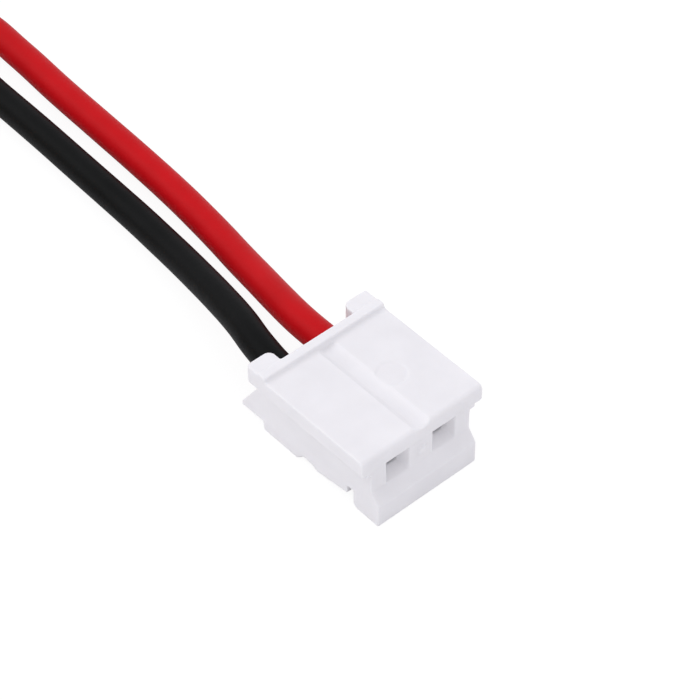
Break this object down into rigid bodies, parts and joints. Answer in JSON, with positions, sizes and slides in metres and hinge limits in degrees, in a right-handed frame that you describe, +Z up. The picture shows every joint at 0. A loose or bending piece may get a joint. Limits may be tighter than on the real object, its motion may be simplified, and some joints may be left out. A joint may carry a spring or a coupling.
{
  "type": "lipo battery pack",
  "caption": "Flat soft-pouch lithium battery pack with a taped protection end and two short leads in a white two-way plug.",
  "frame": {"origin": "bottom centre of the pack, without its leads and plug", "axes": "+Y along the pack's long side towards its lead end, +X towards the plug, which lies beside it, +Z up"},
  "size_m": [0.0403, 0.0486, 0.0071],
  "materials": {
    "aluminium_laminate": "satin foil with a clear nylon skin",
    "separator": "matt porous film",
    "cathode": "matt black coating on aluminium foil",
    "anode": "matt grey-brown coating on copper foil",
    "roll_tape": "smooth green film tape",
    "aluminium_tab": "bright rolled strip",
    "nickel": "rolled nickel",
    "tab_film": "translucent polypropylene film",
    "foam": "closed-cell foam",
    "circuit_board": "green solder mask",
    "chip": "matt black moulding compound",
    "capacitor_ceramic": "matt ceramic",
    "solder": "bright solder",
    "polyimide_tape": "glossy amber film",
    "label_film": "satin printed film",
    "red_pvc": "satin extruded PVC",
    "black_pvc": "satin extruded PVC",
    "tinned_copper": "tinned strands",
    "natural_nylon": "semi-matt moulded nylon",
    "tinned_bronze": "tin-plated phosphor bronze"
  },
  "bodies": {
    "pack": {"pouch_base_sheet": "aluminium_laminate", "pouch_cup": "aluminium_laminate", "outer_separator": "separator", "cathode_winding": "cathode", "inner_separator": "separator", "anode_winding": "anode", "roll_end_tape": "roll_tape", "positive_tab": "aluminium_tab", "negative_tab": "nickel", "positive_tab_film": "tab_film", "negative_tab_film": "tab_film", "board_foam_pad": "foam", "protection_board": "circuit_board", "positive_bond_plate": "nickel", "negative_bond_plate": "nickel", "mosfet_chip": "chip", "protection_ic": "chip", "sense_resistor": "chip", "filter_resistor": "chip", "filter_capacitor": "capacitor_ceramic", "output_capacitor": "capacitor_ceramic", "positive_solder_joint": "solder", "negative_solder_joint": "solder", "board_tape": "polyimide_tape", "blank_label": "label_film", "positive_lead_insulation": "red_pvc", "positive_lead_conductor": "tinned_copper", "negative_lead_insulation": "black_pvc", "negative_lead_conductor": "tinned_copper", "plug_housing": "natural_nylon", "negative_contact": "tinned_bronze", "positive_contact": "tinned_bronze"},
    "negative_spring": {"negative_contact_spring": "tinned_bronze"},
    "negative_lance": {"negative_contact_lance": "tinned_bronze"},
    "positive_spring": {"positive_contact_spring": "tinned_bronze"},
    "positive_lance": {"positive_contact_lance": "tinned_bronze"}
  },
  "joints": [
    {"name": "negative_spring_flex", "type": "hinge", "parent": "pack", "child": "negative_spring", "pos_m": [0.02919, 0.026, 0.00215], "axis": [0, 1, 0], "range_deg": [0, 5], "stiffness_Nm_per_rad": 0.000002},
    {"name": "negative_lance_flex", "type": "hinge", "parent": "pack", "child": "negative_lance", "pos_m": [0.02872, 0.026, 0.00139], "axis": [0, 1, 0], "range_deg": [0, 15], "stiffness_Nm_per_rad": 0.000002},
    {"name": "positive_spring_flex", "type": "hinge", "parent": "pack", "child": "positive_spring", "pos_m": [0.02919, 0.028, 0.00215], "axis": [0, 1, 0], "range_deg": [0, 5], "stiffness_Nm_per_rad": 0.000002},
    {"name": "positive_lance_flex", "type": "hinge", "parent": "pack", "child": "positive_lance", "pos_m": [0.02872, 0.028, 0.00139], "axis": [0, 1, 0], "range_deg": [0, 15], "stiffness_Nm_per_rad": 0.000002}
  ]
}
